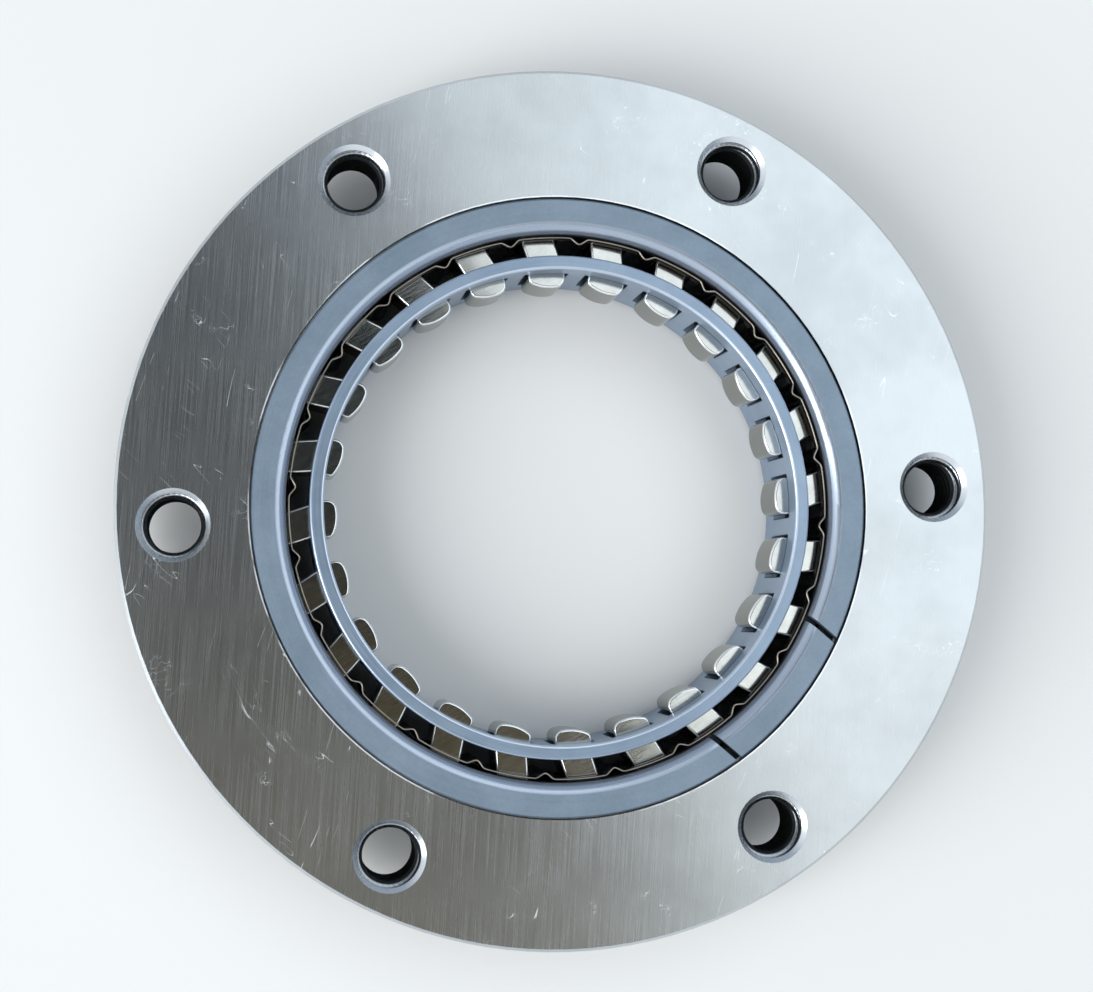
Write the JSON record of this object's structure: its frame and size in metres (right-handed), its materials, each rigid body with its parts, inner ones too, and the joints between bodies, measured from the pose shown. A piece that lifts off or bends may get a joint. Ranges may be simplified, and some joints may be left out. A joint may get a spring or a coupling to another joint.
{
  "type": "one-way clutch bearing",
  "caption": "Sprag one-way clutch: a thick bolted steel ring with a double-caged set of tilting sprags round a large open bore.",
  "frame": {"origin": "centre of the rear end of the locating spigot, on the clutch axis, at the base of the part", "axes": "+Z along the clutch axis, from the spigot towards the front face; +X through one bolt hole and one sprag"},
  "size_m": [0.1124, 0.1124, 0.016],
  "materials": {
    "ring_steel": "ground",
    "cage_steel": "satin",
    "inner_cage_steel": "satin",
    "spring_steel": "satin",
    "sprag_steel": "polished"
  },
  "bodies": {
    "race": {"outer_race": "ring_steel"},
    "cage": {"outer_cage": "cage_steel", "ribbon_spring": "spring_steel"},
    "phasing_cage": {"inner_cage": "inner_cage_steel"},
    "sprag_01": {"sprag_01": "sprag_steel"},
    "sprag_02": {"sprag_02": "sprag_steel"},
    "sprag_03": {"sprag_03": "sprag_steel"},
    "sprag_04": {"sprag_04": "sprag_steel"},
    "sprag_05": {"sprag_05": "sprag_steel"},
    "sprag_06": {"sprag_06": "sprag_steel"},
    "sprag_07": {"sprag_07": "sprag_steel"},
    "sprag_08": {"sprag_08": "sprag_steel"},
    "sprag_09": {"sprag_09": "sprag_steel"},
    "sprag_10": {"sprag_10": "sprag_steel"},
    "sprag_11": {"sprag_11": "sprag_steel"},
    "sprag_12": {"sprag_12": "sprag_steel"},
    "sprag_13": {"sprag_13": "sprag_steel"},
    "sprag_14": {"sprag_14": "sprag_steel"},
    "sprag_15": {"sprag_15": "sprag_steel"},
    "sprag_16": {"sprag_16": "sprag_steel"},
    "sprag_17": {"sprag_17": "sprag_steel"},
    "sprag_18": {"sprag_18": "sprag_steel"},
    "sprag_19": {"sprag_19": "sprag_steel"},
    "sprag_20": {"sprag_20": "sprag_steel"},
    "sprag_21": {"sprag_21": "sprag_steel"},
    "sprag_22": {"sprag_22": "sprag_steel"},
    "sprag_23": {"sprag_23": "sprag_steel"},
    "sprag_24": {"sprag_24": "sprag_steel"}
  },
  "joints": [
    {"name": "cage_spin", "type": "hinge", "parent": "race", "child": "cage", "pos_m": [0, 0, 0.00825], "axis": [0, 0, 1], "continuous": true},
    {"name": "inner_cage_phase", "type": "hinge", "parent": "cage", "child": "phasing_cage", "pos_m": [0, 0, 0.00825], "axis": [0, 0, 1], "range_deg": [-1.17, 0], "stiffness_Nm_per_rad": 0.5, "springref_deg": 1.15},
    {"name": "sprag_01_tilt", "type": "hinge", "parent": "cage", "child": "sprag_01", "pos_m": [0.035, 0.001, 0.00825], "axis": [0, 0, 1], "range_deg": [0, 10]},
    {"name": "sprag_02_tilt", "type": "hinge", "parent": "cage", "child": "sprag_02", "pos_m": [0.03355, 0.01002, 0.00825], "axis": [0, 0, 1], "range_deg": [0, 10]},
    {"name": "sprag_03_tilt", "type": "hinge", "parent": "cage", "child": "sprag_03", "pos_m": [0.02981, 0.01837, 0.00825], "axis": [0, 0, 1], "range_deg": [0, 10]},
    {"name": "sprag_04_tilt", "type": "hinge", "parent": "cage", "child": "sprag_04", "pos_m": [0.02404, 0.02546, 0.00825], "axis": [0, 0, 1], "range_deg": [0, 10]},
    {"name": "sprag_05_tilt", "type": "hinge", "parent": "cage", "child": "sprag_05", "pos_m": [0.01663, 0.03081, 0.00825], "axis": [0, 0, 1], "range_deg": [0, 10]},
    {"name": "sprag_06_tilt", "type": "hinge", "parent": "cage", "child": "sprag_06", "pos_m": [0.00809, 0.03407, 0.00825], "axis": [0, 0, 1], "range_deg": [0, 10]},
    {"name": "sprag_07_tilt", "type": "hinge", "parent": "cage", "child": "sprag_07", "pos_m": [-0.001, 0.035, 0.00825], "axis": [0, 0, 1], "range_deg": [0, 10]},
    {"name": "sprag_08_tilt", "type": "hinge", "parent": "cage", "child": "sprag_08", "pos_m": [-0.01002, 0.03355, 0.00825], "axis": [0, 0, 1], "range_deg": [0, 10]},
    {"name": "sprag_09_tilt", "type": "hinge", "parent": "cage", "child": "sprag_09", "pos_m": [-0.01837, 0.02981, 0.00825], "axis": [0, 0, 1], "range_deg": [0, 10]},
    {"name": "sprag_10_tilt", "type": "hinge", "parent": "cage", "child": "sprag_10", "pos_m": [-0.02546, 0.02404, 0.00825], "axis": [0, 0, 1], "range_deg": [0, 10]},
    {"name": "sprag_11_tilt", "type": "hinge", "parent": "cage", "child": "sprag_11", "pos_m": [-0.03081, 0.01663, 0.00825], "axis": [0, 0, 1], "range_deg": [0, 10]},
    {"name": "sprag_12_tilt", "type": "hinge", "parent": "cage", "child": "sprag_12", "pos_m": [-0.03407, 0.00809, 0.00825], "axis": [0, 0, 1], "range_deg": [0, 10]},
    {"name": "sprag_13_tilt", "type": "hinge", "parent": "cage", "child": "sprag_13", "pos_m": [-0.035, -0.001, 0.00825], "axis": [0, 0, 1], "range_deg": [0, 10]},
    {"name": "sprag_14_tilt", "type": "hinge", "parent": "cage", "child": "sprag_14", "pos_m": [-0.03355, -0.01002, 0.00825], "axis": [0, 0, 1], "range_deg": [0, 10]},
    {"name": "sprag_15_tilt", "type": "hinge", "parent": "cage", "child": "sprag_15", "pos_m": [-0.02981, -0.01837, 0.00825], "axis": [0, 0, 1], "range_deg": [0, 10]},
    {"name": "sprag_16_tilt", "type": "hinge", "parent": "cage", "child": "sprag_16", "pos_m": [-0.02404, -0.02546, 0.00825], "axis": [0, 0, 1], "range_deg": [0, 10]},
    {"name": "sprag_17_tilt", "type": "hinge", "parent": "cage", "child": "sprag_17", "pos_m": [-0.01663, -0.03081, 0.00825], "axis": [0, 0, 1], "range_deg": [0, 10]},
    {"name": "sprag_18_tilt", "type": "hinge", "parent": "cage", "child": "sprag_18", "pos_m": [-0.00809, -0.03407, 0.00825], "axis": [0, 0, 1], "range_deg": [0, 10]},
    {"name": "sprag_19_tilt", "type": "hinge", "parent": "cage", "child": "sprag_19", "pos_m": [0.001, -0.035, 0.00825], "axis": [0, 0, 1], "range_deg": [0, 10]},
    {"name": "sprag_20_tilt", "type": "hinge", "parent": "cage", "child": "sprag_20", "pos_m": [0.01002, -0.03355, 0.00825], "axis": [0, 0, 1], "range_deg": [0, 10]},
    {"name": "sprag_21_tilt", "type": "hinge", "parent": "cage", "child": "sprag_21", "pos_m": [0.01837, -0.02981, 0.00825], "axis": [0, 0, 1], "range_deg": [0, 10]},
    {"name": "sprag_22_tilt", "type": "hinge", "parent": "cage", "child": "sprag_22", "pos_m": [0.02546, -0.02404, 0.00825], "axis": [0, 0, 1], "range_deg": [0, 10]},
    {"name": "sprag_23_tilt", "type": "hinge", "parent": "cage", "child": "sprag_23", "pos_m": [0.03081, -0.01663, 0.00825], "axis": [0, 0, 1], "range_deg": [0, 10]},
    {"name": "sprag_24_tilt", "type": "hinge", "parent": "cage", "child": "sprag_24", "pos_m": [0.03407, -0.00809, 0.00825], "axis": [0, 0, 1], "range_deg": [0, 10]}
  ],
  "couplings": [
    {"joint": "sprag_01_tilt", "follows": "inner_cage_phase", "ratio": -8.5368},
    {"joint": "sprag_02_tilt", "follows": "inner_cage_phase", "ratio": -8.5368},
    {"joint": "sprag_03_tilt", "follows": "inner_cage_phase", "ratio": -8.5368},
    {"joint": "sprag_04_tilt", "follows": "inner_cage_phase", "ratio": -8.5368},
    {"joint": "sprag_05_tilt", "follows": "inner_cage_phase", "ratio": -8.5368},
    {"joint": "sprag_06_tilt", "follows": "inner_cage_phase", "ratio": -8.5368},
    {"joint": "sprag_07_tilt", "follows": "inner_cage_phase", "ratio": -8.5368},
    {"joint": "sprag_08_tilt", "follows": "inner_cage_phase", "ratio": -8.5368},
    {"joint": "sprag_09_tilt", "follows": "inner_cage_phase", "ratio": -8.5368},
    {"joint": "sprag_10_tilt", "follows": "inner_cage_phase", "ratio": -8.5368},
    {"joint": "sprag_11_tilt", "follows": "inner_cage_phase", "ratio": -8.5368},
    {"joint": "sprag_12_tilt", "follows": "inner_cage_phase", "ratio": -8.5368},
    {"joint": "sprag_13_tilt", "follows": "inner_cage_phase", "ratio": -8.5368},
    {"joint": "sprag_14_tilt", "follows": "inner_cage_phase", "ratio": -8.5368},
    {"joint": "sprag_15_tilt", "follows": "inner_cage_phase", "ratio": -8.5368},
    {"joint": "sprag_16_tilt", "follows": "inner_cage_phase", "ratio": -8.5368},
    {"joint": "sprag_17_tilt", "follows": "inner_cage_phase", "ratio": -8.5368},
    {"joint": "sprag_18_tilt", "follows": "inner_cage_phase", "ratio": -8.5368},
    {"joint": "sprag_19_tilt", "follows": "inner_cage_phase", "ratio": -8.5368},
    {"joint": "sprag_20_tilt", "follows": "inner_cage_phase", "ratio": -8.5368},
    {"joint": "sprag_21_tilt", "follows": "inner_cage_phase", "ratio": -8.5368},
    {"joint": "sprag_22_tilt", "follows": "inner_cage_phase", "ratio": -8.5368},
    {"joint": "sprag_23_tilt", "follows": "inner_cage_phase", "ratio": -8.5368},
    {"joint": "sprag_24_tilt", "follows": "inner_cage_phase", "ratio": -8.5368}
  ]
}
